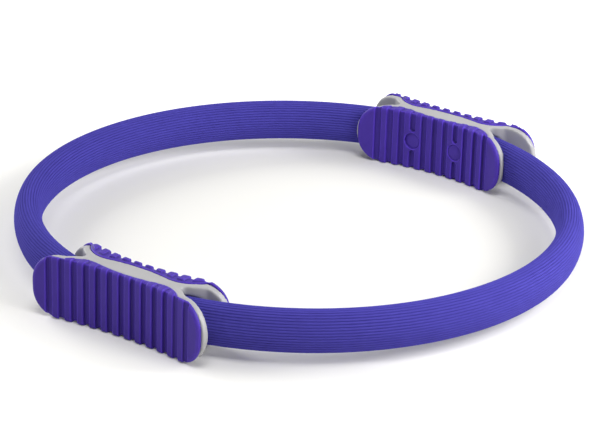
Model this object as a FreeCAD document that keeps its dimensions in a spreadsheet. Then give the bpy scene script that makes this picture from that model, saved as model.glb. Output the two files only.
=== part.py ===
"""Pilates ring: two spring-band arcs in ribbed foam sleeves, joined by two clamped grip handles.

The ring lies flat. +Z is up, +X runs through the right handle, and the origin is the ring's centre
on the surface that the handles rest on. Everything is first built with the ring's mid plane at z = 0
and the handle on +X, and each node is then lifted, and for the left handle turned, into place.
In a handle, u runs outwards from the handle's own centre plane and v runs along the handle.
"""
import FreeCAD, Part
import math
import os
import re

import Sketcher
from FreeCAD import Placement, Rotation, Vector

SIZES = [
    ("ring_radius", 172.0, "ring centre to the middle of the band"),
    ("tube_half_width", 8.9, "foam sleeve, half its width across the ring"),
    ("tube_half_height", 13.6, "foam sleeve, half its height"),
    ("tube_crown_radius", 7.5, "rounding of the sleeve's top and bottom"),
    ("band_thickness", 1.45, "one layer of spring band"),
    ("band_layer_gap", 0.1, "between the two layers of band"),
    ("band_height", 18.0, "spring band, edge to edge"),
    ("band_end_offset", 6.0, "band end to the handle's middle"),
    ("band_hole_radius", 2.5, "hole in the band for the clamp screw"),
    ("fit_clearance", 0.3, "between pieces that aren't bonded together"),
    ("handle_shift", 4.2, "handle's centre plane, inwards from the band circle"),
    ("face_margin", 2.75, "pad face beyond the sleeve's half width, at mid handle"),
    ("outer_face_radius", 280.0, "hollow of the outer pad's face along the handle"),
    ("inner_face_radius", 170.0, "hollow of the inner pad's face along the handle"),
    ("outer_pad_half_length", 63.2, "outer pad, half its length"),
    ("inner_pad_half_length", 57.2, "inner pad, half its length"),
    ("pad_corner_radius", 17.5, "rounded corners of a pad, seen from the front"),
    ("corner_flat", 0.6, "half of the straight end left between two corners, at the least"),
    ("pad_rim_round", 2.0, "rounding of the pad's rim"),
    ("pad_thickness", 3.0, "pad over the flared plates"),
    ("pad_skin", 0.8, "pad left between a groove and the shell behind it"),
    ("pad_proud", 1.4, "pad's ribs above the shell's web"),
    ("strip_proud", 0.3, "plain strip of pad above the shell's web"),
    ("web_thickness", 5.2, "shell above the sleeve"),
    ("web_half", 6.8, "half the web's width at mid handle"),
    ("waist_half", 4.2, "half the web's width at its waists"),
    ("waist_position", 26.5, "waist from mid handle"),
    ("waist_round", 20.0, "hollow of the waist, seen from above"),
    ("valley_round", 3.0, "rounding where the two plates part"),
    ("plate_thickness", 4.6, "flared plate behind each pad"),
    ("plate_rim", 1.8, "plate past the pad's end"),
    ("core_half_length", 35.5, "solid middle of the shells, half its length"),
    ("tunnel_wall", 1.6, "shell round the sleeve"),
    ("wall_overlap", 1.0, "tunnel walls run this far into the plates"),
    ("parting_offset", 2.8, "parting plane outwards from the handle's centre plane"),
    ("groove_width", 4.2, "groove between two ribs of a pad"),
    ("groove_depth", 2.2, "groove in the pad's face"),
    ("lip_groove_depth", 2.2, "groove over the pad's edge"),
    ("groove_strip", 2.0, "plain strip of pad beside the web, up to the ribs"),
    ("groove_lead", 0.7, "grooves run this far into the plain strip"),
    ("groove_pitch", 8.6, "groove to groove"),
    ("outer_groove_count", 13, "grooves on the outer pad, an odd number"),
    ("inner_groove_count", 11, "grooves on the inner pad, an odd number"),
    ("screw_groove", 2, "the screws sit on this groove, counted from the middle one"),
    ("plug_radius", 5.4, "plug over a screw"),
    ("plug_land", 1.3, "plain pad between a plug and the grooves"),
    ("plug_recess", 0.9, "plug below the pad's face"),
    ("plug_clearance", 0.2, "plug in its hole in pad and shell"),
    ("plug_seat", 5.1, "plug seat inwards from the handle's centre plane"),
    ("screw_radius", 2.0, "clamp screw's shank"),
    ("screw_hole_clearance", 0.25, "shank in the shells"),
    ("screw_head_radius", 3.7, "clamp screw's head"),
    ("screw_head_height", 2.6, "clamp screw's head"),
    ("screw_socket_radius", 1.6, "drive socket, middle to corner"),
    ("screw_socket_depth", 1.4, "drive socket"),
    ("screw_seat", 1.9, "screw seat inwards from the handle's centre plane"),
    ("thread_clearance", 0.05, "screw in its nut"),
    ("nut_flats", 7.0, "nut across its flats"),
    ("nut_thickness", 2.2, "nut"),
    ("nut_wall", 0.1, "shell between the band slot and a nut, at mid handle"),
]

doc = FreeCAD.newDocument("pilates_ring")
sheet = doc.addObject("Spreadsheet::Sheet", "Sizes")
for row, (alias, value, meaning) in enumerate(SIZES, start=1):
    sheet.set("A%d" % row, meaning)
    sheet.set("B%d" % row, str(value))
    sheet.setAlias("B%d" % row, alias)
doc.recompute()

SIZE_NAMES = {alias for alias, value, meaning in SIZES}

# Sizes that follow from the driving ones, each as a formula of the sheet's names.
FORMULAS = {
    "face_half": "(tube_half_width + face_margin)",
    "handle_x": "(ring_radius - handle_shift)",
    "outer_face_centre": "(tube_half_width + face_margin + outer_face_radius)",
    "inner_face_centre": "(tube_half_width + face_margin + inner_face_radius)",
    "waist_centre": "(waist_half + waist_round)",
    "outer_plate_front": "(outer_face_radius + pad_thickness)",
    "inner_plate_front": "(inner_face_radius + pad_thickness)",
    "outer_plate_back": "(outer_face_radius + pad_thickness + plate_thickness)",
    "inner_plate_back": "(inner_face_radius + pad_thickness + plate_thickness)",
    "shell_half_height": "(tube_half_height + fit_clearance + web_thickness)",
    "pad_half_height": "(tube_half_height + fit_clearance + web_thickness + pad_proud)",
    "strip_half_height": "(tube_half_height + fit_clearance + web_thickness + strip_proud)",
    "plan_half_length": "(outer_pad_half_length + plate_rim + pad_rim_round)",
    "band_stack": "(band_thickness + band_layer_gap / 2)",
    "slot_half_width": "(band_thickness + band_layer_gap / 2 + fit_clearance)",
    "slot_half_height": "(band_height / 2 + fit_clearance)",
    "nut_seat": "(handle_shift + band_thickness + band_layer_gap / 2 + fit_clearance + nut_wall)",
    "screw_position": "(screw_groove * groove_pitch)",
}


def in_sheet(word):
    return "Sizes." + word if word in SIZE_NAMES else word


def formula(text):
    """The same formula with every size name pointing into the sheet."""
    for name, meaning in FORMULAS.items():
        text = text.replace("{%s}" % name, meaning)
    return re.sub(r"[a-z_]+", lambda word: in_sheet(word.group()), text)


def size(text):
    """The value in millimetres of a size name or of a formula."""
    return float(sheet.evalExpression(formula(text)))


def set_size(thing, prop, text):
    """Tie one property of a document object to the sheet."""
    thing.setExpression(prop, formula(text))


class Outline:
    """A closed outline in a sketch: edges joined end to end, each size tied to the sheet."""

    def __init__(self, sketch):
        self.sketch = sketch
        self.edges = []

    def line(self, start, end):
        edge = Part.LineSegment(Vector(start[0], start[1], 0), Vector(end[0], end[1], 0))
        index = self.sketch.addGeometry(edge)
        self.edges.append((index, 1, 2))
        return index

    def arc(self, centre, start, end, clockwise):
        radius = math.dist(centre, start)
        first, last = (end, start) if clockwise else (start, end)
        from_angle = math.atan2(first[1] - centre[1], first[0] - centre[0])
        to_angle = math.atan2(last[1] - centre[1], last[0] - centre[0])
        if to_angle < from_angle:
            to_angle += 2 * math.pi
        circle = Part.Circle(Vector(centre[0], centre[1], 0), Vector(0, 0, 1), radius)
        index = self.sketch.addGeometry(Part.ArcOfCircle(circle, from_angle, to_angle))
        self.edges.append((index, 2, 1) if clockwise else (index, 1, 2))
        return index

    def join(self, tangent_after=()):
        """Join each edge to the next; those listed run into the next one smoothly."""
        for place, (index, start, end) in enumerate(self.edges):
            after, after_start, after_end = self.edges[(place + 1) % len(self.edges)]
            kind = "Tangent" if index in tangent_after else "Coincident"
            self.sketch.addConstraint(Sketcher.Constraint(kind, index, end, after, after_start))

    def rule(self, kind, *where):
        self.sketch.addConstraint(Sketcher.Constraint(kind, *where))

    def dimension(self, kind, where, text):
        index = self.sketch.addConstraint(Sketcher.Constraint(kind, *where, size(text)))
        self.sketch.setExpression("Constraints[%d]" % index, formula(text))

    def on_axis(self, index, point):
        self.rule("PointOnObject", index, point, -1)

    def at_x(self, index, point, text):
        self.dimension("DistanceX", (-1, 1, index, point), text)

    def at_y(self, index, point, text):
        self.dimension("DistanceY", (-1, 1, index, point), text)


def sketched_body(name, role):
    """A body with one sketch on an origin plane."""
    body = doc.addObject("PartDesign::Body", name)
    plane = next(item for item in body.Origin.OriginFeatures if item.Role == role)
    sketch = body.newObject("Sketcher::SketchObject", name + "_outline")
    sketch.AttachmentSupport = (plane, [""])
    sketch.MapMode = "FlatFace"
    return body, sketch


def raise_both_ways(body, sketch, half_height):
    """Pad a sketch evenly to both sides of its plane, and mirror it end for end."""
    pad = body.newObject("PartDesign::Pad", body.Name + "_pad")
    pad.Profile = sketch
    pad.SideType = "Symmetric"
    set_size(pad, "Length", "2 * " + half_height)
    doc.recompute()
    mirrored = body.newObject("PartDesign::Mirrored", body.Name + "_both_ends")
    mirrored.Originals = [pad]
    mirrored.MirrorPlane = (next(f for f in body.Origin.OriginFeatures if f.Role == "XZ_Plane"), [""])
    body.Tip = mirrored
    doc.recompute()
    return body


def turn_about_ring(body, sketch, angle):
    """Turn a section about the ring's axis, evenly to both sides of the sketch."""
    turned = body.newObject("PartDesign::Revolution", body.Name + "_turned")
    turned.Profile = sketch
    turned.ReferenceAxis = (sketch, ["V_Axis"])
    turned.Midplane = True
    turned.Angle = angle
    doc.recompute()
    return body


def box(name, low, high):
    """A box between two corners; each corner is given as three formulas."""
    solid = doc.addObject("Part::Box", name)
    for prop, axis, start, end in zip(("Length", "Width", "Height"), "xyz", low, high):
        set_size(solid, prop, "( %s ) - ( %s )" % (end, start))
        set_size(solid, "Placement.Base." + axis, start)
    return solid


def rod_along_x(name, radius, start, end, across):
    """A round rod along u, from start to end, at the place across along the handle."""
    rod = doc.addObject("Part::Cylinder", name)
    rod.Placement.Rotation = Rotation(Vector(0, 1, 0), 90)
    set_size(rod, "Radius", radius)
    set_size(rod, "Height", "( %s ) - ( %s )" % (end, start))
    set_size(rod, "Placement.Base.x", "{handle_x} + " + start)
    set_size(rod, "Placement.Base.y", across)
    return rod


def hexagon_along_x(name, corner_radius, start, end, across):
    """A six-sided rod along u, placed as a round one is."""
    prism = doc.addObject("Part::Prism", name)
    prism.Polygon = 6
    prism.Placement.Rotation = Rotation(Vector(0, 1, 0), 90)
    set_size(prism, "Circumradius", corner_radius)
    set_size(prism, "Height", "( %s ) - ( %s )" % (end, start))
    set_size(prism, "Placement.Base.x", "{handle_x} + " + start)
    set_size(prism, "Placement.Base.y", across)
    return prism


def fuse(name, solids):
    joined = doc.addObject("Part::MultiFuse", name)
    joined.Shapes = solids
    return joined


def common(name, solids):
    shared = doc.addObject("Part::MultiCommon", name)
    shared.Shapes = solids
    return shared


def cut(name, base, tools):
    """The base without the tools, taken away one after another."""
    for tool in tools:
        rest = doc.addObject("Part::Cut", name)
        rest.Base = base
        rest.Tool = tool
        base = rest
    return base


def moved_in(name, solid, side, distance):
    """A piece moved towards the handle's centre plane."""
    moved = doc.addObject("Part::Compound", name)
    moved.Links = [solid]
    set_size(moved, "Placement.Base.x", ("0 - " if side == "outer" else "") + distance)
    return moved


# The handle seen from above. These are the corner points that the outlines start from.

def between(start, end, share):
    return (start[0] + (end[0] - start[0]) * share, start[1] + (end[1] - start[1]) * share)


def circles_meet(centre, radius, other, other_radius):
    """The meeting point of two circles that lies further along the handle."""
    apart = math.dist(centre, other)
    along = (apart ** 2 + radius ** 2 - other_radius ** 2) / (2 * apart)
    aside = math.sqrt(radius ** 2 - along ** 2)
    foot = between(centre, other, along / apart)
    step = ((other[0] - centre[0]) / apart * aside, (other[1] - centre[1]) / apart * aside)
    points = [(foot[0] - step[1], foot[1] + step[0]), (foot[0] + step[1], foot[1] - step[0])]
    return max(points, key=lambda point: point[1])


class HandlePlan:
    """Centres, radii and joints of the curves on one side of the handle, as (u, v)."""

    def __init__(self, side):
        web = size("web_half")
        waist_drop = web - size("waist_half")
        waist_v = size("waist_position")
        self.waist_radius = size("waist_round")
        self.waist_centre = (size("{waist_centre}"), waist_v)
        both_radii = (waist_drop ** 2 + waist_v ** 2) / (2 * waist_drop)
        self.web_radius = both_radii - self.waist_radius
        self.web_centre = (web - self.web_radius, 0.0)
        self.web_edge = (web, 0.0)
        self.web_joint = between(self.web_centre, self.waist_centre, self.web_radius / both_radii)
        self.face_radius = size(side + "_face_radius")
        self.face_centre = (size("{%s_face_centre}" % side), 0.0)
        self.face_edge = (size("{face_half}"), 0.0)
        self.plate_front = size("{%s_plate_front}" % side)
        plate_back = size("{%s_plate_back}" % side)
        tunnel_radius = self.waist_radius + size("plate_thickness")
        self.outer_joint = circles_meet(self.waist_centre, self.waist_radius,
                                        self.face_centre, self.plate_front)
        self.inner_joint = circles_meet(self.waist_centre, tunnel_radius, self.face_centre, plate_back)
        length = size("{plan_half_length}")
        self.face_end = (self.on_arc(self.face_radius, length), length)
        self.outer_end = (self.on_arc(self.plate_front, length), length)
        self.inner_end = (self.on_arc(plate_back, length), length)
        reach = tunnel_radius + size("valley_round")
        valley_v = waist_v + math.sqrt(reach ** 2 - self.waist_centre[0] ** 2)
        self.valley_centre = (0.0, valley_v)
        self.valley_joint = between(self.waist_centre, self.valley_centre, tunnel_radius / reach)
        self.valley_bottom = (0.0, valley_v - size("valley_round"))

    def on_arc(self, radius, v):
        """u of the arc about the face's centre at a place along the handle."""
        return self.face_centre[0] - math.sqrt(radius ** 2 - v ** 2)

    def web_side(self, v):
        """u of the line where shell and pad meet on top of the handle."""
        v = abs(v)
        if v <= self.web_joint[1]:
            return self.web_centre[0] + math.sqrt(self.web_radius ** 2 - v ** 2)
        if v <= self.outer_joint[1]:
            along = v - self.waist_centre[1]
            return self.waist_centre[0] - math.sqrt(self.waist_radius ** 2 - along ** 2)
        return self.on_arc(self.plate_front, v)


SIDES = {"outer": 1, "inner": -1}
PLANS = {side: HandlePlan(side) for side in SIDES}
ENDS = {"front": -1, "back": 1}


def placed(point, side):
    """A plan point of one side of the handle, in the ring's frame."""
    return (size("{handle_x}") + SIDES[side] * point[0], point[1])


def on_side(side, text):
    """The formula for x at a distance u on one side of the handle."""
    return "{handle_x} %s ( %s )" % ("+" if side == "outer" else "-", text)


def add_web_edge(outline, side):
    """The line between shell and pad, from mid handle to its end."""
    plan = PLANS[side]
    left = side == "inner"
    web = outline.arc(placed(plan.web_centre, side), placed(plan.web_edge, side),
                      placed(plan.web_joint, side), left)
    waist = outline.arc(placed(plan.waist_centre, side), placed(plan.web_joint, side),
                        placed(plan.outer_joint, side), not left)
    flare = outline.arc(placed(plan.face_centre, side), placed(plan.outer_joint, side),
                        placed(plan.outer_end, side), not left)
    outline.on_axis(web, 3)
    outline.on_axis(web, outline.edges[-3][1])
    outline.at_x(web, outline.edges[-3][1], on_side(side, "web_half"))
    outline.at_x(waist, 3, on_side(side, "{waist_centre}"))
    outline.at_y(waist, 3, "waist_position")
    outline.dimension("Radius", (waist,), "waist_round")
    outline.at_x(flare, 3, on_side(side, "{%s_face_centre}" % side))
    outline.on_axis(flare, 3)
    outline.dimension("Radius", (flare,), "{%s_plate_front}" % side)
    outline.at_y(flare, outline.edges[-1][2], "{plan_half_length}")
    return web, waist, flare


def shell_plan(side):
    """One side of the grey body seen from above: web, waist, flared plate and half the valley."""
    plan = PLANS[side]
    body, sketch = sketched_body(side + "_shell_plan", "XY_Plane")
    outline = Outline(sketch)
    left = side == "inner"
    web, waist, flare = add_web_edge(outline, side)
    tip = outline.line(placed(plan.outer_end, side), placed(plan.inner_end, side))
    plate = outline.arc(placed(plan.face_centre, side), placed(plan.inner_end, side),
                        placed(plan.inner_joint, side), left)
    tunnel = outline.arc(placed(plan.waist_centre, side), placed(plan.inner_joint, side),
                         placed(plan.valley_joint, side), left)
    valley = outline.arc(placed(plan.valley_centre, side), placed(plan.valley_joint, side),
                         placed(plan.valley_bottom, side), not left)
    middle = outline.line(placed(plan.valley_bottom, side), placed((0.0, 0.0), side))
    base = outline.line(placed((0.0, 0.0), side), placed(plan.web_edge, side))
    outline.join(tangent_after=(web, tunnel))
    outline.rule("Horizontal", tip)
    outline.rule("Coincident", plate, 3, flare, 3)
    outline.dimension("Radius", (plate,), "{%s_plate_back}" % side)
    outline.rule("Coincident", tunnel, 3, waist, 3)
    outline.dimension("Radius", (tunnel,), "waist_round + plate_thickness")
    outline.at_x(valley, 3, "{handle_x}")
    outline.dimension("Radius", (valley,), "valley_round")
    outline.at_x(middle, 1, "{handle_x}")
    outline.rule("Vertical", middle)
    outline.on_axis(base, 1)
    return raise_both_ways(body, sketch, "{shell_half_height}")


def pad_plan(side, name, half_height):
    """One pad seen from above: from the web's edge to the hollow face."""
    plan = PLANS[side]
    body, sketch = sketched_body(side + name, "XY_Plane")
    outline = Outline(sketch)
    web, waist, flare = add_web_edge(outline, side)
    tip = outline.line(placed(plan.outer_end, side), placed(plan.face_end, side))
    face = outline.arc(placed(plan.face_centre, side), placed(plan.face_end, side),
                       placed(plan.face_edge, side), side == "inner")
    outline.line(placed(plan.face_edge, side), placed(plan.web_edge, side))
    outline.join(tangent_after=(web,))
    outline.rule("Horizontal", tip)
    outline.rule("Coincident", face, 3, flare, 3)
    outline.dimension("Radius", (face,), side + "_face_radius")
    outline.on_axis(face, outline.edges[-2][2])
    return raise_both_ways(body, sketch, half_height)


def front_outline(name, half_length, half_height, corner_radius):
    """A block across the handle with the rounded outline of a pad or plate seen from the front."""
    body = doc.addObject("PartDesign::Body", name)
    block = body.newObject("PartDesign::AdditiveBox", name + "_block")
    reach = "{plan_half_length}"
    set_size(block, "Length", "2 * " + reach)
    set_size(block, "Width", "2 * ( %s )" % half_length)
    set_size(block, "Height", "2 * %s" % half_height)
    set_size(block, "Placement.Base.x", "{handle_x} - " + reach)
    set_size(block, "Placement.Base.y", "0 - ( %s )" % half_length)
    set_size(block, "Placement.Base.z", "0 - " + half_height)
    doc.recompute()
    corners = ["Edge%d" % number for number, edge in enumerate(block.Shape.Edges, start=1)
               if abs(edge.tangentAt(edge.FirstParameter).x) > 0.5]
    rounding = body.newObject("PartDesign::Fillet", name + "_corners")
    rounding.Base = (block, corners)
    set_size(rounding, "Radius", "min(%s; %s - corner_flat)" % (corner_radius, half_height))
    doc.recompute()
    return body


def oval_section(sketch, sign, grow):
    """The sleeve's oval on one side of the ring, drawn as four smooth arcs and grown all round."""
    middle = sign * size("ring_radius")
    half_width = size("tube_half_width + " + grow)
    half_height = size("tube_half_height + " + grow)
    crown = size("tube_crown_radius + " + grow)
    lift = half_height - crown
    flank = (half_width ** 2 + lift ** 2 - crown ** 2) / (2 * (half_width - crown))
    share = crown / (flank - crown)
    joint = ((flank - half_width) * share, lift * (1 + share))
    outline = Outline(sketch)
    right = outline.arc((middle - flank + half_width, 0), (middle + joint[0], -joint[1]),
                        (middle + joint[0], joint[1]), False)
    top = outline.arc((middle, lift), (middle + joint[0], joint[1]), (middle - joint[0], joint[1]), False)
    left = outline.arc((middle + flank - half_width, 0), (middle - joint[0], joint[1]),
                       (middle - joint[0], -joint[1]), False)
    bottom = outline.arc((middle, -lift), (middle - joint[0], -joint[1]),
                         (middle + joint[0], -joint[1]), False)
    outline.join(tangent_after=(right, top))
    ring = "%d * ring_radius" % sign
    outline.at_x(top, 3, ring)
    outline.at_y(top, 3, "tube_half_height - tube_crown_radius")
    outline.dimension("Radius", (top,), "tube_crown_radius + " + grow)
    for flank_arc, way in ((right, "+"), (left, "-")):
        widest = sketch.addGeometry(Part.Point(Vector(middle + float(way + "1") * half_width, 0, 0)), True)
        outline.on_axis(widest, 1)
        outline.at_x(widest, 1, "%s %s ( tube_half_width + %s )" % (ring, way, grow))
        outline.rule("PointOnObject", widest, 1, flank_arc)
        outline.on_axis(flank_arc, 3)
        outline.rule("Vertical", flank_arc, 1, flank_arc, 2)
    outline.rule("Equal", top, bottom)


def band_section(sketch, low, high, half_height):
    """A rectangle between two distances from the ring's axis."""
    inside, outside, rise = size(low), size(high), size(half_height)
    outline = Outline(sketch)
    bottom = outline.line((inside, -rise), (outside, -rise))
    right = outline.line((outside, -rise), (outside, rise))
    top = outline.line((outside, rise), (inside, rise))
    left = outline.line((inside, rise), (inside, -rise))
    outline.join()
    for flat in (bottom, top):
        outline.rule("Horizontal", flat)
    for upright in (right, left):
        outline.rule("Vertical", upright)
    outline.at_x(left, 1, low)
    outline.at_x(right, 1, high)
    outline.at_y(top, 1, half_height)
    outline.at_y(bottom, 1, "0 - " + half_height)


def degrees_at(v, radius):
    """The angle about the ring's axis of a place along the handle."""
    return math.degrees(math.asin(size(v) / size(radius)))


# Angles from the handle's middle to the ends of the sleeves and bands.
SLEEVE_END = degrees_at("core_half_length + fit_clearance", "ring_radius - tube_half_width")
BAND_END = degrees_at("band_end_offset", "ring_radius - {band_stack}")
HANDLE_REACH = degrees_at("{plan_half_length}", "ring_radius - tube_half_width") + 1.0


def sleeve(name, sign):
    """Half a ring of foam, hollow where the spring bands run through it."""
    body, sketch = sketched_body(name, "YZ_Plane")
    oval_section(sketch, sign, "0")
    turn_about_ring(body, sketch, 180 - 2 * SLEEVE_END)
    hollow, section = sketched_body(name + "_hollow", "YZ_Plane")
    edges = ["%d * ( ring_radius + %s )" % (sign, way + " {band_stack}") for way in ("0 -", "0 +")]
    band_section(section, edges[0], edges[1], "band_height / 2")
    turn_about_ring(hollow, section, 180)
    return cut(name + "_tube", body, [hollow])


def band(name, sign, low, high):
    """One layer of spring band for half the ring, with a screw hole near each end."""
    body, sketch = sketched_body(name, "YZ_Plane")
    edges = ["%d * ( ring_radius + %s )" % (sign, edge) for edge in (low, high)]
    band_section(sketch, edges[0], edges[1], "band_height / 2")
    turn_about_ring(body, sketch, 180 - 2 * BAND_END)
    hole = doc.addObject("Part::Cylinder", name + "_holes")
    hole.Placement.Rotation = Rotation(Vector(0, 1, 0), 90)
    set_size(hole, "Radius", "band_hole_radius")
    set_size(hole, "Height", "2 * {handle_x} + 2 * {face_half}")
    set_size(hole, "Placement.Base.x", "0 - {handle_x} - {face_half}")
    set_size(hole, "Placement.Base.y", "%d * {screw_position}" % sign)
    return cut(name + "_drilled", body, [hole])


def ring_solid(name, grow):
    """The sleeve's shape grown all round, as far as a handle reaches."""
    body, sketch = sketched_body(name, "XZ_Plane")
    oval_section(sketch, 1, grow)
    return turn_about_ring(body, sketch, 2 * HANDLE_REACH)


def behind_face(name, side, depth):
    """A drum that takes away all that lies less than a depth under a pad's face."""
    drum = doc.addObject("Part::Cylinder", name)
    set_size(drum, "Radius", side + "_face_radius + " + depth)
    set_size(drum, "Height", "4 * {pad_half_height}")
    set_size(drum, "Placement.Base.x", on_side(side, "{%s_face_centre}" % side))
    set_size(drum, "Placement.Base.z", "0 - 2 * {pad_half_height}")
    return drum


def half_of_handle(name, side):
    """The side of the parting plane that one shell lies on."""
    parting = "{handle_x} + parting_offset"
    far = on_side(side, "{plan_half_length}")
    low, high = (parting, far) if side == "outer" else (far, parting)
    reach = "2 * {plan_half_length}"
    return box(name, (low, "0 - " + reach, "0 - " + reach), (high, reach, reach))


def grooved(name, side, pad, half_height):
    """A pad with its grooves cut down the face and over both edges."""
    count = int(size(side + "_groove_count"))
    under = cut(name + "_under", pad_plan(side, "_under_plan", half_height + " - lip_groove_depth"),
                [behind_face(name + "_under_face", side, "groove_depth")])
    slots = []
    for place in range(-(count // 2), count // 2 + 1):
        start = PLANS[side].web_side(place * size("groove_pitch")) + size("groove_strip - groove_lead")
        ends = (on_side(side, "%.4f" % start), on_side(side, "{plan_half_length}"))
        low, high = ends if side == "outer" else ends[::-1]
        across = "%d * groove_pitch" % place
        slot_name = "%s_slot%d" % (name, place + count // 2)
        spans = [("0 - 2 * " + half_height, "2 * " + half_height)]
        if side == "inner" and abs(place) == int(size("screw_groove")):
            stop = "( plug_radius + plug_land + groove_width / 2 )"
            spans = [("0 - 2 * " + half_height, "0 - " + stop), (stop, "2 * " + half_height)]
            slots += [groove_end(slot_name, low, high, across, way + stop) for way in ("0 - ", "")]
        slots += [box(slot_name, (low, across + " - groove_width / 2", bottom),
                      (high, across + " + groove_width / 2", top)) for bottom, top in spans]
    return cut(name + "_grooved", pad, [cut(name + "_grooves", fuse(name + "_slots", slots), [under])])


def strip_steps(side, flat):
    """What is cut away so that the plain strip beside the web lies lower than the ribs."""
    ribs = moved_in(side + "_rib_reach", flat, side, "( 0 - groove_strip )")
    reach = "{plan_half_length}"
    steps = []
    for name, low, high in (("_top_step", "{strip_half_height}", "2 * {pad_half_height}"),
                            ("_bottom_step", "0 - 2 * {pad_half_height}", "0 - {strip_half_height}")):
        slab = box(side + name + "_slab", ("{handle_x} - " + reach, "0 - " + reach, low),
                   ("{handle_x} + " + reach, reach, high))
        steps.append(cut(side + name, slab, [ribs]))
    return steps


def groove_end(name, low, high, across, level):
    """The round end of a groove that stops short of a plug."""
    rod = doc.addObject("Part::Cylinder", name + "_end")
    rod.Placement.Rotation = Rotation(Vector(0, 1, 0), 90)
    set_size(rod, "Radius", "groove_width / 2")
    set_size(rod, "Height", "( %s ) - ( %s )" % (high, low))
    set_size(rod, "Placement.Base.x", low)
    set_size(rod, "Placement.Base.y", across)
    set_size(rod, "Placement.Base.z", level)
    return rod


PLUG_FACE = PLANS["inner"].on_arc(size("inner_face_radius"), size("{screw_position}")) - size("plug_recess")


def build_handle():
    """The pieces of the handle on +X, by name."""
    bore = cut("bore", ring_solid("bore_ring", "fit_clearance"),
               [box("bore_stop", ("0", "0 - core_half_length", "0 - 2 * {pad_half_height}"),
                    ("2 * ring_radius", "core_half_length", "2 * {pad_half_height}"))])
    tunnel = ring_solid("tunnel_ring", "fit_clearance + tunnel_wall")
    slot, section = sketched_body("band_slot", "XZ_Plane")
    band_section(section, "ring_radius - {slot_half_width}", "ring_radius + {slot_half_width}",
                 "{slot_half_height}")
    turn_about_ring(slot, section, 2 * HANDLE_REACH)
    pads = {side: pad_plan(side, "_pad_plan", "{pad_half_height}") for side in SIDES}
    walls = {}
    for side in SIDES:
        reach = moved_in(side + "_wall_reach", pads[side], side, "wall_overlap")
        walls[side] = cut(side + "_wall", common(side + "_tunnel", [tunnel, reach]),
                          [behind_face(side + "_wall_face", side, "groove_depth + pad_skin")])
    grey = fuse("grey", [shell_plan(side) for side in SIDES] + list(walls.values()))
    holes = [rod_along_x("screw_hole_" + end, "screw_radius + screw_hole_clearance",
                         "0 - {plan_half_length}", "{plan_half_length}", "%d * {screw_position}" % sign)
             for end, sign in ENDS.items()]
    hollow = cut("hollow_grey", grey, [bore, slot] + holes)
    seats = {
        "inner": [rod_along_x("head_seat_" + end, "screw_head_radius + fit_clearance",
                              "0 - {plan_half_length}", "0 - screw_seat", "%d * {screw_position}" % sign)
                  for end, sign in ENDS.items()]
        + [rod_along_x("plug_seat_" + end, "plug_radius + plug_clearance",
                       "0 - {plan_half_length}", "0 - plug_seat", "%d * {screw_position}" % sign)
           for end, sign in ENDS.items()],
        "outer": [hexagon_along_x("nut_seat_" + end, "( nut_flats + 2 * fit_clearance ) / 3 ^ 0.5",
                                  "{nut_seat}", "{plan_half_length}", "%d * {screw_position}" % sign)
                  for end, sign in ENDS.items()],
    }
    pieces = {}
    for side in SIDES:
        length = side + "_pad_half_length"
        trim = front_outline(side + "_plate_front", length + " + plate_rim", "{shell_half_height}",
                             "pad_corner_radius + plate_rim")
        whole = common(side + "_whole", [hollow, trim, half_of_handle(side + "_half", side)])
        pieces[side + "_shell"] = cut(side + "_shell_seated", whole, seats[side])
        pieces[side + "_pad"] = build_pad(side, pads[side], walls[side])
    for end, sign in ENDS.items():
        across = "%d * {screw_position}" % sign
        pieces[end + "_screw"] = build_screw(end, across)
        pieces[end + "_nut"] = cut(
            end + "_nut_drilled",
            hexagon_along_x(end + "_nut_blank", "nut_flats / 3 ^ 0.5", "{nut_seat} + fit_clearance",
                            "{nut_seat} + fit_clearance + nut_thickness", across),
            [rod_along_x(end + "_nut_thread", "screw_radius + thread_clearance", "0",
                         "{plan_half_length}", across)])
        pieces[end + "_plug"] = rod_along_x(end + "_plug_disc", "plug_radius", "0 - %.4f" % PLUG_FACE,
                                            "0 - plug_seat", across)
    return pieces


def build_pad(side, flat, wall):
    """A ribbed grip pad, rounded at its rim and hollowed to sit on the shell."""
    height = "{pad_half_height}"
    front = front_outline(side + "_pad_front", side + "_pad_half_length", height, "pad_corner_radius")
    blank = common(side + "_pad_blank", [flat, front])
    doc.recompute()
    axis = Vector(*placed(PLANS[side].face_centre, side), 0)
    face_radius = PLANS[side].face_radius
    rim = []
    for number, edge in enumerate(blank.Shape.Edges, start=1):
        spots = [edge.valueAt(edge.FirstParameter + (edge.LastParameter - edge.FirstParameter) * share)
                 for share in (0.0, 0.5, 1.0)]
        if all(abs(math.hypot(spot.x - axis.x, spot.y) - face_radius) < 1e-3 for spot in spots):
            rim.append((number, size("pad_rim_round"), size("pad_rim_round")))
    rounded = doc.addObject("Part::Fillet", side + "_pad_rounded")
    rounded.Base = blank
    rounded.Edges = rim
    stepped = cut(side + "_pad_stepped", rounded, strip_steps(side, flat))
    ribbed = grooved(side + "_pad", side, stepped, height)
    holes = [wall]
    if side == "inner":
        holes += [rod_along_x("plug_hole_" + end, "plug_radius + plug_clearance",
                              "0 - {plan_half_length}", "0", "%d * {screw_position}" % sign)
                  for end, sign in ENDS.items()]
    return cut(side + "_pad_seated", ribbed, holes)


def build_screw(end, across):
    """A clamp screw: round head towards the ring's middle, with a six-sided drive socket."""
    under_head = "0 - screw_seat - fit_clearance"
    head_top = under_head + " - screw_head_height"
    solid = fuse(end + "_screw_blank", [
        rod_along_x(end + "_screw_shank", "screw_radius", under_head,
                    "{nut_seat} + fit_clearance + nut_thickness", across),
        rod_along_x(end + "_screw_head", "screw_head_radius", head_top, under_head, across)])
    socket = hexagon_along_x(end + "_screw_socket", "screw_socket_radius", head_top,
                             head_top + " + screw_socket_depth", across)
    return cut(end + "_screw_socketed", solid, [socket])


NODES = []


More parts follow.
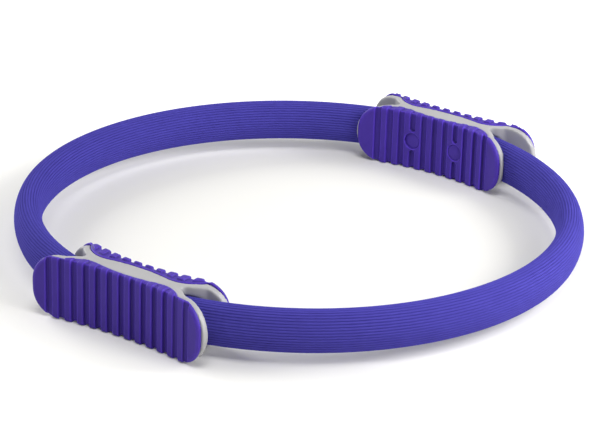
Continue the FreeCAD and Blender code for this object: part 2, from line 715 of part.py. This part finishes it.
def node(label, solid, turn=0):
    """Lift a piece to its height above the floor, and turn it about the ring's axis."""
    item = doc.addObject("Part::Compound", "node_" + label)
    item.Label = label
    item.Links = [solid]
    item.Placement = Placement(Vector(0, 0, 0), Rotation(Vector(0, 0, 1), turn))
    set_size(item, "Placement.Base.z", "{pad_half_height}")
    NODES.append(item)


for half, sign in ENDS.items():
    node(half + "_sleeve", sleeve(half + "_foam", sign))
    layers = {"inner": ("0 - {band_stack}", "0 - band_layer_gap / 2"),
              "outer": ("band_layer_gap / 2", "{band_stack}")}
    for layer, (low, high) in layers.items():
        node("%s_%s_band" % (half, layer), band("%s_%s_strip" % (half, layer), sign, low, high))

OPPOSITE = {"front": "back", "back": "front"}
for name, solid in build_handle().items():
    node("right_" + name, solid)
    end, _, kind = name.partition("_")
    node("left_" + (OPPOSITE[end] + "_" + kind if end in OPPOSITE else name), solid, 180)

doc.recompute()
for item in doc.Objects:
    if "Invalid" in item.State or "Error" in item.State:
        raise RuntimeError("%s did not compute" % item.Name)
for item in NODES:
    if item.Shape.isNull() or not item.Shape.isValid() or not item.Shape.Solids:
        raise RuntimeError("%s has no sound solid" % item.Label)

os.makedirs("parts", exist_ok=True)
for item in NODES:
    item.Shape.exportStep("parts/%s.step" % item.Label)
    print("%-20s solids %d volume %9.1f mm3" % (item.Label, len(item.Shape.Solids), item.Shape.Volume))
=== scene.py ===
# %% [markdown]
# # A pilates ring
# A springy ring about 37 cm across, lying flat. Steel bands inside two ribbed foam sleeves give it its
# push, and two handles on opposite sides clamp the bands' ends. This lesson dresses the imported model:
# it loads the measured frame first, because every piece below sits where that frame says.

# %% Load the frame
import math

import bmesh
import bpy
from mathutils import Matrix, Vector


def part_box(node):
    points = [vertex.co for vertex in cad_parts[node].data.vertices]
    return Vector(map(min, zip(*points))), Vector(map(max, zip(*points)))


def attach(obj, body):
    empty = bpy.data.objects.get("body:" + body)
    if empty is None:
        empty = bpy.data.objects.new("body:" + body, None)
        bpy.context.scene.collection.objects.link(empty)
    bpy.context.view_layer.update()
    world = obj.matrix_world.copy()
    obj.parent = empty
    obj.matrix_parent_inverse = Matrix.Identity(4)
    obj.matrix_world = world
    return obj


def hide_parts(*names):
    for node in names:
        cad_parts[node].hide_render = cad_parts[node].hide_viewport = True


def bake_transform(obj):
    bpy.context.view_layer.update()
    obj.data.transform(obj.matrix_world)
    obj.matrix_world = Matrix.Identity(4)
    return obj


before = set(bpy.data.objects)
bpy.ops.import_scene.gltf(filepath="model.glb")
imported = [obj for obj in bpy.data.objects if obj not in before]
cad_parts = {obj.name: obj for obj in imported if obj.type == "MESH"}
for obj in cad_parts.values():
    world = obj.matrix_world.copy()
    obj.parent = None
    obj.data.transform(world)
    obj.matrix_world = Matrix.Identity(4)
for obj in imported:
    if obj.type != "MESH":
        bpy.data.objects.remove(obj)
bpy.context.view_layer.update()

# %% [markdown]
# ## The camera
# The photograph was taken with a long lens from above the left front. A long lens keeps the far side of
# the ring nearly as large as the near side, so the focal length matters as much as the place. The camera
# is aimed at the ring's middle and then turned by the last few tenths of a degree, and rolled a little.

# %% Camera
MM = 0.001
RING_RADIUS = 172.0 * MM
MID_HEIGHT = sum(corner.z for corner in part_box("front_sleeve")) / 2
LENS_MM, SENSOR_MM = 157.04, 36.0
CAMERA_AZIMUTH, CAMERA_ELEVATION, CAMERA_DISTANCE = -54.85, 22.782, 1.7042
LAST_TURNS = (("Y", -0.158), ("X", -0.181), ("Z", 1.696))


def direction(azimuth, elevation):
    """Towards an azimuth, 0 in front and 90 on the right, and an elevation, both in degrees."""
    around, up = math.radians(azimuth), math.radians(elevation)
    return Vector((math.sin(around) * math.cos(up), -math.cos(around) * math.cos(up), math.sin(up)))


camera_data = bpy.data.cameras.new("camera")
camera_data.lens = LENS_MM
camera_data.sensor_width = SENSOR_MM
camera = bpy.data.objects.new("camera", camera_data)
bpy.context.scene.collection.objects.link(camera)
bpy.context.scene.camera = camera

toward = direction(CAMERA_AZIMUTH, CAMERA_ELEVATION)
aim = toward.to_track_quat("Z", "Y").to_matrix()
for axis, degrees in LAST_TURNS:
    aim = aim @ Matrix.Rotation(math.radians(degrees), 3, axis)
stand = Vector((0, 0, MID_HEIGHT)) + toward * CAMERA_DISTANCE
camera.matrix_world = Matrix.Translation(stand) @ aim.to_4x4()
print("camera at", [round(value, 4) for value in camera.location])

# %% [markdown]
# ## Colours and nodes
# Colours are picked as they look on a screen, so one function turns such a hex value into the linear
# numbers that Blender computes with. A second small function adds one node with its settings, its values
# and its links, which keeps each material below short enough to read.

# %% Helpers for materials
def linear(hex_colour):
    channels = [int(hex_colour[digit:digit + 2], 16) / 255 for digit in (1, 3, 5)]
    return [c / 12.92 if c <= 0.04045 else ((c + 0.055) / 1.055) ** 2.4 for c in channels] + [1.0]


def add(material, kind, settings=None, values=None, links=None):
    tree = material.node_tree
    node = tree.nodes.new("ShaderNode" + kind)
    for name, value in (settings or {}).items():
        setattr(node, name, value)
    for name, value in (values or {}).items():
        node.inputs[name].default_value = value
    for name, (source, output) in (links or {}).items():
        tree.links.new(source.outputs[output], node.inputs[name])
    return node


def new_material(name, **values):
    material = bpy.data.materials.new(name)
    material.use_nodes = True
    shader = material.node_tree.nodes["Principled BSDF"]
    for socket, value in values.items():
        shader.inputs[socket.replace("_", " ")].default_value = value
    return material, shader


print("helpers ready")

# %% [markdown]
# ## Foam for the sleeves
# The sleeves are extruded soft foam rubber, dyed violet. Its skin is dull, with fine closed cells that
# break up the light, and the dye takes a little unevenly. A coarse noise mixes two close violets, and a
# fine one gives the cells. The cells are drawn at 0.7 mm, coarser than real ones, so that they show. The
# dye is darkened in the grooves between the ribs as painted shade, and lifted a little on the rib crests
# as painted light: each sleeve carries an attribute that falls to -1 in the grooves and sets this.

# %% Foam rubber
def foam_rubber():
    material, shader = new_material("extruded_foam_rubber", Roughness=0.9, Specular_IOR_Level=0.07)
    place = add(material, "TexCoord")
    patches = add(material, "TexNoise", values={"Scale": 1 / (9 * MM), "Detail": 3.0},
                  links={"Vector": (place, "Object")})
    dye = add(material, "Mix", {"data_type": "RGBA"}, {"A": linear("#443e99"), "B": linear("#4b45a5")},
              links={"Factor": (patches, "Fac")})
    # Painted shade: this attribute darkens the dye in the grooves between the ribs.
    painted_shading = add(material, "Attribute", {"attribute_name": "painted_shading"})
    painted_shading_factor = add(material, "MapRange",
                 values={"From Min": -1.0, "From Max": 0.0, "To Min": 0.72, "To Max": 1.08},
                 links={"Value": (painted_shading, "Fac")})
    dye_with_painted_shading = add(material, "HueSaturation", links={"Color": (dye, "Result"), "Value": (painted_shading_factor, "Result")})
    cells = add(material, "TexNoise", values={"Scale": 1 / (0.7 * MM), "Detail": 2.0},
                links={"Vector": (place, "Object")})
    skin = add(material, "Bump", values={"Strength": 0.5, "Distance": 0.18 * MM},
               links={"Height": (cells, "Fac")})
    material.node_tree.links.new(dye_with_painted_shading.outputs["Color"], shader.inputs["Base Color"])
    material.node_tree.links.new(skin.outputs["Normal"], shader.inputs["Normal"])
    return material


FOAM = foam_rubber()
print("made", FOAM.name)

# %% [markdown]
# ## Rubber for the pads
# The grip pads are moulded in thermoplastic rubber, a little redder and darker than the foam. The mould
# was spark-eroded, which leaves a fine even grain, drawn coarser here so that it shows. Hands polish such
# rubber unevenly, so a noise also moves the roughness a little. The ribs' edges are made paler as a
# painted highlight and the corners of the grooves darker as painted shade. Each pad carries that in an
# attribute which is above zero on edges and below zero in corners.

# %% Moulded rubber
def moulded_rubber():
    material, shader = new_material("moulded_thermoplastic_rubber", Specular_IOR_Level=0.2)
    place = add(material, "TexCoord")
    patches = add(material, "TexNoise", values={"Scale": 1 / (14 * MM), "Detail": 2.0},
                  links={"Vector": (place, "Object")})
    dye = add(material, "Mix", {"data_type": "RGBA"}, {"A": linear("#412b93"), "B": linear("#47309e")},
              links={"Factor": (patches, "Fac")})
    polish = add(material, "MapRange", values={"To Min": 0.44, "To Max": 0.58},
                 links={"Value": (patches, "Fac")})
    # Painted highlight and shade: this attribute makes rib edges paler and groove corners darker.
    painted_shading = add(material, "Attribute", {"attribute_name": "painted_shading"})
    painted_shading_factor = add(material, "MapRange",
                 values={"From Min": -0.18, "From Max": 0.18, "To Min": 0.2, "To Max": 1.8},
                 links={"Value": (painted_shading, "Fac")})
    dye_with_painted_shading = add(material, "HueSaturation", links={"Color": (dye, "Result"), "Value": (painted_shading_factor, "Result")})
    grain = add(material, "TexNoise", values={"Scale": 1 / (0.6 * MM), "Detail": 3.0},
                links={"Vector": (place, "Object")})
    skin = add(material, "Bump", values={"Strength": 0.5, "Distance": 0.18 * MM},
               links={"Height": (grain, "Fac")})
    material.node_tree.links.new(dye_with_painted_shading.outputs["Color"], shader.inputs["Base Color"])
    material.node_tree.links.new(polish.outputs["Result"], shader.inputs["Roughness"])
    material.node_tree.links.new(skin.outputs["Normal"], shader.inputs["Normal"])
    return material


RUBBER = moulded_rubber()
print("made", RUBBER.name)

# %% [markdown]
# ## Plastic for the shells
# Each handle's two shells are injection-moulded ABS in a warm light grey with a satin surface. Moulded
# plastic is nearly even, so the noise only shifts the grey by a trace and dimples the skin.

# %% Moulded ABS
def moulded_abs():
    material, shader = new_material("moulded_abs_plastic", Roughness=0.45, IOR=1.53)
    place = add(material, "TexCoord")
    patches = add(material, "TexNoise", values={"Scale": 1 / (20 * MM), "Detail": 2.0},
                  links={"Vector": (place, "Object")})
    tone = add(material, "Mix", {"data_type": "RGBA"}, {"A": linear("#a3a2a3"), "B": linear("#abaaab")},
               links={"Factor": (patches, "Fac")})
    grain = add(material, "TexNoise", values={"Scale": 1 / (0.8 * MM), "Detail": 2.0},
                links={"Vector": (place, "Object")})
    skin = add(material, "Bump", values={"Strength": 0.12, "Distance": 0.1 * MM},
               links={"Height": (grain, "Fac")})
    material.node_tree.links.new(tone.outputs["Result"], shader.inputs["Base Color"])
    material.node_tree.links.new(skin.outputs["Normal"], shader.inputs["Normal"])
    return material


ABS = moulded_abs()
print("made", ABS.name)

# %% [markdown]
# ## Steel for the bands and fasteners
# The bands are rolled spring steel and the screws and nuts are zinc-plated. They are hidden inside the
# foam and the shells, and still get their finish, because someone may take the ring apart. Rolling leaves
# streaks along the bands, so their noise is squeezed across the band's height.

# %% Steels
ROUGHNESS_SPREAD = 0.08


def streaked_steel(name, tints, roughness, streak_mm, tall_mm):
    material, shader = new_material(name, Metallic=1.0)
    place = add(material, "TexCoord")
    stretch = add(material, "Mapping", values={"Scale": (1.0, 1.0, streak_mm / tall_mm)},
                  links={"Vector": (place, "Object")})
    streaks = add(material, "TexNoise", values={"Scale": 1 / (streak_mm * MM), "Detail": 3.0},
                  links={"Vector": (stretch, "Vector")})
    tone = add(material, "Mix", {"data_type": "RGBA"}, {"A": linear(tints[0]), "B": linear(tints[1])},
               links={"Factor": (streaks, "Fac")})
    dulling = add(material, "MapRange", values={"To Min": roughness - ROUGHNESS_SPREAD,
                                                "To Max": roughness + ROUGHNESS_SPREAD},
                  links={"Value": (streaks, "Fac")})
    material.node_tree.links.new(tone.outputs["Result"], shader.inputs["Base Color"])
    material.node_tree.links.new(dulling.outputs["Result"], shader.inputs["Roughness"])
    return material


SPRING_STEEL = streaked_steel("rolled_spring_steel", ("#8d8f93", "#a3a5a8"), 0.38, 8.0, 0.6)
ZINC_STEEL = streaked_steel("zinc_plated_steel", ("#b4b8bd", "#c6cacf"), 0.3, 2.0, 2.0)
print("made", SPRING_STEEL.name, "and", ZINC_STEEL.name)

# %% [markdown]
# ## From a bmesh to a piece
# Every piece ends the same way: its bmesh becomes a mesh object at the origin with one material, smooth
# faces, and sharp edges only where two faces meet at a steep angle. A copy of a measured node starts as
# loose triangles, so its doubles are merged first. Some copies are cut on a plane.

# %% Helpers for pieces
WELD = 0.001 * MM


def finish_piece(name, shape, material, sharp_degrees=40.0):
    for face in shape.faces:
        face.smooth = True
    for edge in shape.edges:
        edge.smooth = edge.calc_face_angle(0.0) < math.radians(sharp_degrees)
    mesh = bpy.data.meshes.new(name)
    shape.to_mesh(mesh)
    shape.free()
    mesh.materials.append(material)
    piece = bpy.data.objects.new(name, mesh)
    bpy.context.scene.collection.objects.link(piece)
    return piece


def merged_nodes(nodes):
    shape = bmesh.new()
    for node in nodes:
        shape.from_mesh(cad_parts[node].data)
    bmesh.ops.remove_doubles(shape, verts=shape.verts, dist=WELD)
    return shape


def edges_among(items):
    return [item for item in items if isinstance(item, bmesh.types.BMEdge)]


def cut_away(shape, point, normal):
    """Clear what lies beyond a plane, on its normal's side, and give the edges along the cut."""
    everything = list(shape.verts) + list(shape.edges) + list(shape.faces)
    made = bmesh.ops.bisect_plane(shape, geom=everything, plane_co=point, plane_no=normal,
                                  clear_outer=True)["geom_cut"]
    return edges_among(made)


print("nodes:", len(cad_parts))

# %% [markdown]
# ## The quarters of the ring
# When the handles are squeezed together, each half of the ring bows outwards. A piece can bend between two
# bodies only, so each half is made as two quarters that meet in the middle, and the table names the bodies
# at each quarter's two ends. Here each quarter is only baked in place, and no bend is set up.

# %% Quarters
# Each quarter's handle angle, its way round from there, and the bodies at its two ends.
QUARTERS = {
    "front_left": (180.0, 1, "left_handle", "front_arc"),
    "front_right": (360.0, -1, "right_handle", "front_arc"),
    "back_left": (180.0, -1, "left_handle", "back_arc"),
    "back_right": (0.0, 1, "right_back_anchor", "back_arc"),
}


def bend_quarter(piece):
    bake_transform(piece)


# %% [markdown]
# ## The foam sleeves
# The sleeve's section is a tall oval of four arcs, with forty fine ribs that run along it. A circle of
# points is moved onto the ribbed oval and then spun about the ring's axis. The ribs could be a bump in
# the material, but they catch the light along the top and show at the outline, so they are real.

# %% Sleeve section
HALF_WIDTH, HALF_HEIGHT, CROWN = 8.9 * MM, 13.6 * MM, 7.5 * MM
CROWN_LIFT = HALF_HEIGHT - CROWN
FLANK = (HALF_WIDTH ** 2 + CROWN_LIFT ** 2 - CROWN ** 2) / (2 * (HALF_WIDTH - CROWN))
FLANK_TURN = math.atan2(CROWN_LIFT, FLANK - HALF_WIDTH)
FLANK_LENGTH = FLANK * FLANK_TURN
QUARTER_LENGTH = FLANK_LENGTH + CROWN * (math.pi / 2 - FLANK_TURN)
RIBS, RIB_STEPS, RIB_DEPTH = 40, 8, 0.45 * MM


def oval_point(length):
    """The place and outward direction at a length round the oval, from its outermost point."""
    lap, rest = divmod(length, QUARTER_LENGTH)
    along = QUARTER_LENGTH - rest if lap % 2 == 1 else rest
    if along < FLANK_LENGTH:
        turn, centre, radius = along / FLANK, Vector((HALF_WIDTH - FLANK, 0)), FLANK
    else:
        turn = FLANK_TURN + (along - FLANK_LENGTH) / CROWN
        centre, radius = Vector((0, CROWN_LIFT)), CROWN
    out = Vector((math.cos(turn), math.sin(turn)))
    point = centre + out * radius
    side = Vector((-1 if lap % 4 in (1, 2) else 1, -1 if lap % 4 in (2, 3) else 1))
    return point * side, out * side


def ribbed_section(shape, at_angle):
    count = RIBS * RIB_STEPS
    painted_shading = shape.verts.layers.float.new("painted_shading")
    ring = bmesh.ops.create_circle(shape, segments=count, radius=HALF_WIDTH)["verts"]
    for step, vert in enumerate(ring):
        point, out = oval_point(4 * QUARTER_LENGTH * step / count)
        groove = abs(2 * (step % RIB_STEPS) / RIB_STEPS - 1) ** 3
        point = point - out * RIB_DEPTH * groove
        # Stored for the foam's painted shade in the grooves.
        vert[painted_shading] = -groove
        vert.co = (RING_RADIUS + point.x, 0, MID_HEIGHT + point.y)
    bmesh.ops.rotate(shape, verts=ring, matrix=Matrix.Rotation(math.radians(at_angle), 3, "Z"))


print("oval is", round(4 * QUARTER_LENGTH / MM, 1), "mm round,", RIBS, "ribs")

# %% Sleeve quarters
SLEEVE_END_OFFSET = 35.8 * MM
SLEEVE_END = math.degrees(math.asin(SLEEVE_END_OFFSET / (RING_RADIUS - HALF_WIDTH)))
SLOT_HALF = Vector((1.5, 9.0)) * MM
SPIN_STEPS = 72


def sleeve_quarter(quarter):
    handle_angle, way, _, arc = QUARTERS[quarter]
    start = handle_angle + way * SLEEVE_END
    sweep = way * (90.0 - SLEEVE_END)
    shape = bmesh.new()
    ribbed_section(shape, start)
    slot = bmesh.ops.create_circle(shape, segments=4, radius=1.0)["verts"]
    for vert, (across, up) in zip(slot, ((1, 1), (-1, 1), (-1, -1), (1, -1))):
        vert.co = (RING_RADIUS + across * SLOT_HALF.x, 0, MID_HEIGHT + up * SLOT_HALF.y)
    bmesh.ops.rotate(shape, verts=slot, matrix=Matrix.Rotation(math.radians(start), 3, "Z"))
    first = list(shape.edges)
    bmesh.ops.bridge_loops(shape, edges=first)
    last = bmesh.ops.spin(shape, geom=first, cent=(0, 0, 0), axis=(0, 0, 1),
                          angle=math.radians(sweep), steps=SPIN_STEPS)["geom_last"]
    bmesh.ops.bridge_loops(shape, edges=edges_among(last))
    bmesh.ops.remove_doubles(shape, verts=shape.verts, dist=WELD)
    bmesh.ops.recalc_face_normals(shape, faces=shape.faces)
    piece = finish_piece(quarter + "_foam", shape, FOAM, sharp_degrees=75.0)
    bend_quarter(piece)
    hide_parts(arc.split("_")[0] + "_sleeve")
    return piece


for quarter in QUARTERS:
    piece = sleeve_quarter(quarter)
    print(piece.name, len(piece.data.polygons), "faces, from", round(SLEEVE_END, 2), "degrees")

# %% [markdown]
# ## The spring bands
# Two thin bands lie on each other in every half, and bend with the sleeves. A copy of each one is cut in
# the middle, one half for each quarter.

# %% Bands
def band_quarter(quarter, layer):
    half, side = quarter.split("_")
    shape = merged_nodes(["%s_%s_band" % (half, layer)])
    beyond_middle = Vector((1 if side == "left" else -1, 0, 0))
    bmesh.ops.holes_fill(shape, edges=cut_away(shape, (0, 0, 0), beyond_middle))
    piece = finish_piece("%s_%s_spring" % (quarter, layer), shape, SPRING_STEEL)
    bend_quarter(piece)
    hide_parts("%s_%s_band" % (half, layer))
    return piece


for quarter in QUARTERS:
    for layer in ("inner", "outer"):
        print(band_quarter(quarter, layer).name)

# %% [markdown]
# ## Moulded plastic and rubber
# Moulded pieces have no sharp edges: the mould's own corners are rounded, and the rubber's ribs too.
# Bevelling each edge of these hollow shapes by hand would take many steps. Instead a copy of the measured
# shape is remeshed in small even cells and smoothed a few times, which rounds every edge by a cell or two
# and leaves the broad faces where they are. How far smoothing took each point below its sharp place, in
# cells, is kept in an attribute, from which the rubber paints highlight on edges and shade in corners.

# %% Rounding a moulded shape
def moulded(nodes, cell, smoothing):
    draft = finish_piece("draft", merged_nodes(nodes), ABS)
    remesh = draft.modifiers.new("cells", "REMESH")
    remesh.mode = "VOXEL"
    remesh.voxel_size = cell
    bpy.context.view_layer.update()
    mesh = bpy.data.meshes.new_from_object(draft.evaluated_get(bpy.context.evaluated_depsgraph_get()))
    bpy.data.objects.remove(draft)
    shape = bmesh.new()
    shape.from_mesh(mesh)
    bpy.data.meshes.remove(mesh)
    # Stored for the rubber's painted highlight on edges and painted shade in corners.
    painted_shading = shape.verts.layers.float.new("painted_shading")
    sharp_places = [vert.co.copy() for vert in shape.verts]
    for _ in range(smoothing):
        bmesh.ops.smooth_vert(shape, verts=shape.verts, factor=0.5,
                              use_axis_x=True, use_axis_y=True, use_axis_z=True)
    shape.normal_update()
    for vert, sharp_place in zip(shape.verts, sharp_places):
        vert[painted_shading] = (sharp_place - vert.co).dot(vert.normal) / cell
    return shape


print("rounding ready")

# %% [markdown]
# ## The shells
# The grey body of a handle is two shells that meet on a plane along the handle, so well that the joint
# can't be seen. Both are therefore rounded as one shape first, and that shape is then cut on the plane
# into an outer and an inner half, each closed over the cut.

# %% Shells
SHELL_CELL, SHELL_SMOOTHING = 0.6 * MM, 10


def shell_half(shape, cut_x, name, way):
    rim = cut_away(shape, (cut_x, 0, 0), (-way, 0, 0))
    bmesh.ops.triangle_fill(shape, edges=rim, use_beauty=True, use_dissolve=False)
    bmesh.ops.recalc_face_normals(shape, faces=shape.faces)
    return finish_piece(name, shape, ABS, sharp_degrees=60.0)


for side, outwards in (("left", -1), ("right", 1)):
    nodes = {half: "%s_%s_shell" % (side, half) for half in ("outer", "inner")}
    body = moulded(nodes.values(), SHELL_CELL, SHELL_SMOOTHING)
    joint_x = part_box(nodes["outer"])[0 if outwards > 0 else 1].x
    for half, way in (("outer", outwards), ("inner", -outwards)):
        piece = shell_half(body.copy(), joint_x, "%s_%s_half" % (side, half), way)
        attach(piece, side + "_handle")
        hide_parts(nodes[half])
        print(piece.name, len(piece.data.polygons), "faces")
    body.free()

# %% [markdown]
# ## The grip pads
# The pads' grooves run down the face and hook over both edges, and they make the handle what it is, so
# the cells are finer here and the smoothing is light.

# %% Pads
PAD_CELL, PAD_SMOOTHING = 0.45 * MM, 2

for side in ("left", "right"):
    for half in ("outer", "inner"):
        node = "%s_%s_pad" % (side, half)
        shape = moulded([node], PAD_CELL, PAD_SMOOTHING)
        piece = finish_piece("%s_%s_grip" % (side, half), shape, RUBBER, sharp_degrees=180.0)
        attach(piece, side + "_handle")
        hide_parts(node)
        print(piece.name, len(piece.data.polygons), "faces")

# %% [markdown]
# ## The plugs
# Two round plugs close the screw holes of each inner pad. Seen from the front they are plain discs with a
# fine gap round them. Each is a short cylinder whose front rim is rounded.

# %% Plugs
PLUG_SEGMENTS, PLUG_ROUNDING = 64, 0.35 * MM
RIM_ANGLE = 1.0  # radians


def plug(node):
    low, high = (Vector(corner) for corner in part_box(node))
    middle, radius = (low + high) / 2, (high.y - low.y) / 2
    shape = bmesh.new()
    bmesh.ops.create_cone(shape, cap_ends=True, segments=PLUG_SEGMENTS, radius1=radius, radius2=radius,
                          depth=high.x - low.x)
    inwards = 1 if middle.x < 0 else -1
    bmesh.ops.rotate(shape, verts=shape.verts, matrix=Matrix.Rotation(inwards * math.pi / 2, 3, "Y"))
    rim = [edge for edge in shape.edges if edge.calc_face_angle(0.0) > RIM_ANGLE
           and sum(vert.co.x for vert in edge.verts) * inwards > 0]
    bmesh.ops.bevel(shape, geom=rim, affect="EDGES", offset=PLUG_ROUNDING, segments=3, profile=0.5,
                    material=-1)
    bmesh.ops.translate(shape, verts=shape.verts, vec=middle)
    bmesh.ops.recalc_face_normals(shape, faces=shape.faces)
    piece = finish_piece(node + "_disc", shape, RUBBER)
    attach(piece, node.split("_")[0] + "_handle")
    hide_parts(node)
    return piece


for node in sorted(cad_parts):
    if node.endswith("_plug"):
        print(plug(node).name)

# %% [markdown]
# ## Screws and nuts
# The clamp screws and their nuts are right as they were built, so they only get their zinc plating.

# %% Fasteners
for node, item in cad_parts.items():
    if node.endswith(("_screw", "_nut")):
        item.data.materials.clear()
        item.data.materials.append(ZINC_STEEL)
        print("plated", node)

# %% [markdown]
# ## Floor and light
# The ring lies on a white studio floor. Seen from the camera, two soft lamps stand close by, at the right
# front and on the right, with a weaker one on the left: close lamps make the right side lighter than the
# left. One lamp behind throws the tubes' shadows forwards, and one above lights the tops. Only the camera,
# reflections and clear things see the floor and the surround glow white. The floor's glow starts at the
# ring and grows outwards, so the shadows stay.

# %% Floor
WHITE = (1.0, 1.0, 1.0, 1.0)
FLOOR_SIZE, FULL_GLOW_RADIUS = 6.0, 0.42


def background_rays(owner):
    """1 for the rays that show the background: from the camera, in reflections and through glass."""
    rays = add(owner, "LightPath")
    seen = add(owner, "Math", {"operation": "MAXIMUM"},
               links={0: (rays, "Is Camera Ray"), 1: (rays, "Is Glossy Ray")})
    return add(owner, "Math", {"operation": "MAXIMUM"},
               links={0: (seen, 0), 1: (rays, "Is Transmission Ray")})


floor_shape = bmesh.new()
bmesh.ops.create_grid(floor_shape, x_segments=1, y_segments=1, size=FLOOR_SIZE)
floor_material, floor_shader = new_material("white_studio_floor", Roughness=1.0, Specular_IOR_Level=0.0)
floor_shader.inputs["Base Color"].default_value = linear("#efeee9")
floor_shader.inputs["Emission Color"].default_value = WHITE
shown = background_rays(floor_material)
spot = add(floor_material, "TexCoord")
reach = add(floor_material, "VectorMath", {"operation": "LENGTH"}, links={0: (spot, "Object")})
growth = add(floor_material, "MapRange", values={"From Min": RING_RADIUS, "From Max": FULL_GLOW_RADIUS},
             links={"Value": (reach, "Value")})
glow = add(floor_material, "Math", {"operation": "MULTIPLY"}, links={0: (shown, 0), 1: (growth, "Result")})
floor_material.node_tree.links.new(glow.outputs[0], floor_shader.inputs["Emission Strength"])
floor = finish_piece("floor", floor_shape, floor_material)
print("floor laid")

# %% Surround
SURROUND_LIGHT, SURROUND_SEEN = 0.08, 1.0

world = bpy.data.worlds.new("white_surround")
bpy.context.scene.world = world
world.use_nodes = True
surround = world.node_tree.nodes["Background"]
surround.inputs["Color"].default_value = WHITE
level = add(world, "Mix", {"data_type": "FLOAT"}, {"A": SURROUND_LIGHT, "B": SURROUND_SEEN},
            links={"Factor": (background_rays(world), 0)})
world.node_tree.links.new(level.outputs["Result"], surround.inputs["Strength"])
print("surround lights at", SURROUND_LIGHT)

# %% Lamps
# Each lamp's azimuth and elevation in degrees, its distance and width in metres, and its watts.
LAMPS = {
    "front": (-10.0, 32.0, 0.9, 0.5, 3.3),
    "right": (35.0, 30.0, 0.9, 0.5, 5.5),
    "left": (-145.0, 30.0, 0.9, 0.5, 1.2),
    "back": (172.0, 28.0, 3.4, 1.8, 60.0),
    "top": (-55.0, 70.0, 3.4, 1.8, 46.0),
}


def soft_lamp(name, azimuth, elevation, distance, size, power):
    data = bpy.data.lights.new(name, "AREA")
    data.shape = "DISK"
    data.size = size
    data.energy = power
    lamp = bpy.data.objects.new(name, data)
    away = direction(azimuth, elevation)
    lamp.location = away * distance
    lamp.rotation_mode = "QUATERNION"
    lamp.rotation_quaternion = away.to_track_quat("Z", "Y")
    bpy.context.scene.collection.objects.link(lamp)
    return lamp


for name, setting in LAMPS.items():
    print("lamp", soft_lamp(name, *setting).name)

# %% [markdown]
# ## Plain colours
# The picture keeps plain colours, with no film look on top.

# %% Finish
bpy.context.scene.view_settings.view_transform = "Standard"
